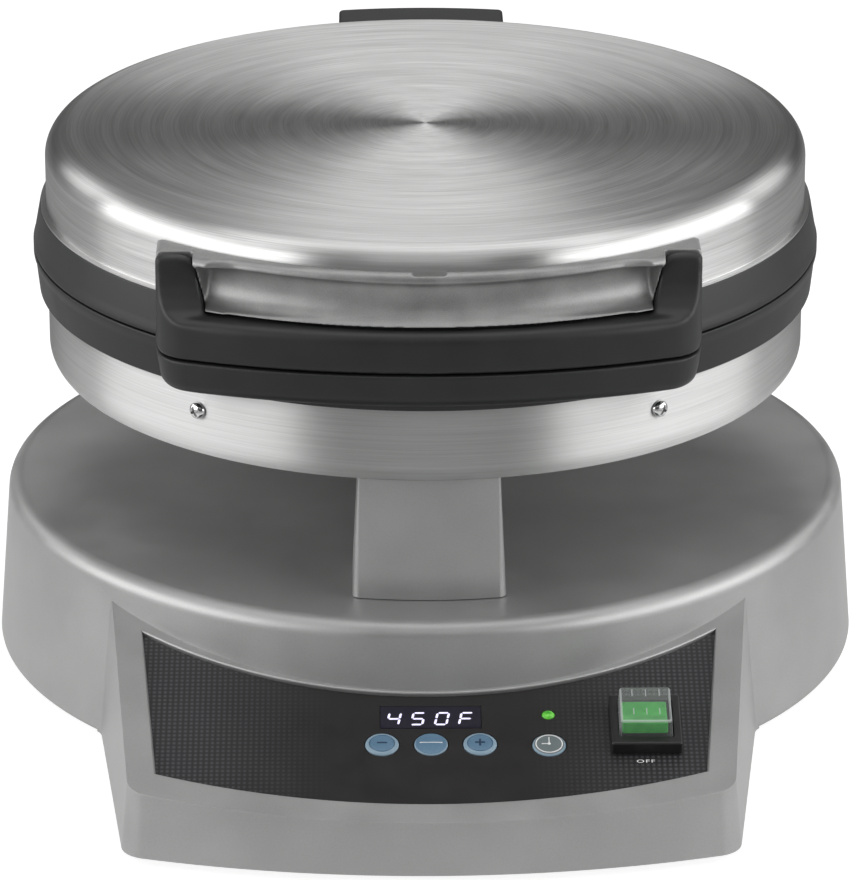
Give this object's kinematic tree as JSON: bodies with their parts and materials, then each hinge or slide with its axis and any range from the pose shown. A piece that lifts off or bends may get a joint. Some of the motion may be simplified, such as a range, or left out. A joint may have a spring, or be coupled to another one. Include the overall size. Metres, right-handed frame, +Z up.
{
  "type": "electric crepe maker",
  "caption": "Round hinged contact grill for crepes: a brushed lid and pan with a front handle on a pedestal base, whose sloped console carries a display, keys and a rocker switch.",
  "frame": {"origin": "on the ground, under the middle of the bounding box", "axes": "+Z up, -Y out of the front where the console is, +X to the right of someone facing the front"},
  "size_m": [0.4224, 0.5218, 0.2611],
  "materials": {
    "silver_paint": "silver-grey metallic paint over a casting",
    "brushed_steel": "brushed sheet, fine turned grain",
    "satin_casting": "bead-blasted satin casting",
    "black_plastic": "dark moulded plastic, fine texture",
    "printed_sheet": "dark printed sheet with a fine woven pattern",
    "dark_window": "dark display window",
    "blue_grey_rubber": "blue-grey keypad rubber",
    "grey_rubber": "grey keypad rubber",
    "green_lens": "green translucent plastic",
    "clear_cover": "clear soft plastic",
    "cooking_plate": "cast plate, dark non-stick coat",
    "foot_rubber": "matt black rubber",
    "circuit_board": "green board",
    "inner_metal": "plain metal"
  },
  "bodies": {
    "base": {"base_housing": "silver_paint", "base_plate": "inner_metal", "foot_front_left": "foot_rubber", "foot_front_right": "foot_rubber", "foot_rear_left": "foot_rubber", "foot_rear_right": "foot_rubber", "front_pillar": "silver_paint", "rear_pillar": "silver_paint", "lower_pan": "brushed_steel", "lower_ring": "black_plastic", "lower_plate": "cooking_plate", "lower_element": "inner_metal", "lower_reflector": "inner_metal", "lower_sensor": "inner_metal", "lower_grip": "black_plastic", "pan_screw_left": "brushed_steel", "pan_screw_right": "brushed_steel", "control_overlay": "printed_sheet", "display_window": "dark_window", "display_module": "black_plastic", "control_board": "circuit_board", "ready_lamp": "green_lens", "switch_frame": "black_plastic", "switch_cover": "clear_cover", "switch_body": "black_plastic", "inlet_bush": "black_plastic", "lower_hinge_block": "black_plastic", "lower_hinge_leaf": "inner_metal", "hinge_pin": "inner_metal"},
    "lid": {"lid_cover": "brushed_steel", "upper_ring": "black_plastic", "upper_plate": "cooking_plate", "upper_element": "inner_metal", "upper_reflector": "inner_metal", "upper_sensor": "inner_metal", "handle_bracket": "satin_casting", "upper_handle": "black_plastic", "upper_hinge_block": "black_plastic", "upper_hinge_leaf": "inner_metal"},
    "minus_button": {"minus_button": "blue_grey_rubber"},
    "mode_button": {"mode_button": "blue_grey_rubber"},
    "plus_button": {"plus_button": "blue_grey_rubber"},
    "timer_button": {"timer_button": "grey_rubber"},
    "switch_rocker": {"switch_rocker": "green_lens"}
  },
  "joints": [
    {"name": "lid_hinge", "type": "hinge", "parent": "base", "child": "lid", "pos_m": [0, 0.25594, 0.2046], "axis": [-1, 0, 0], "range_deg": [0, 100]},
    {"name": "minus_button_press", "type": "slide", "parent": "base", "child": "minus_button", "axis": [0, 0.2672, -0.9636], "range_m": [0, 0.0006], "stiffness_N_per_m": 600, "springref_m": -0.0008},
    {"name": "mode_button_press", "type": "slide", "parent": "base", "child": "mode_button", "axis": [0, 0.2672, -0.9636], "range_m": [0, 0.0006], "stiffness_N_per_m": 600, "springref_m": -0.0008},
    {"name": "plus_button_press", "type": "slide", "parent": "base", "child": "plus_button", "axis": [0, 0.2672, -0.9636], "range_m": [0, 0.0006], "stiffness_N_per_m": 600, "springref_m": -0.0008},
    {"name": "timer_button_press", "type": "slide", "parent": "base", "child": "timer_button", "axis": [0, 0.2672, -0.9636], "range_m": [0, 0.0006], "stiffness_N_per_m": 600, "springref_m": -0.0008},
    {"name": "rocker_tilt", "type": "hinge", "parent": "base", "child": "switch_rocker", "pos_m": [0.09867, -0.19434, 0.04711], "axis": [1, 0, 0], "range_deg": [0, 22]}
  ]
}
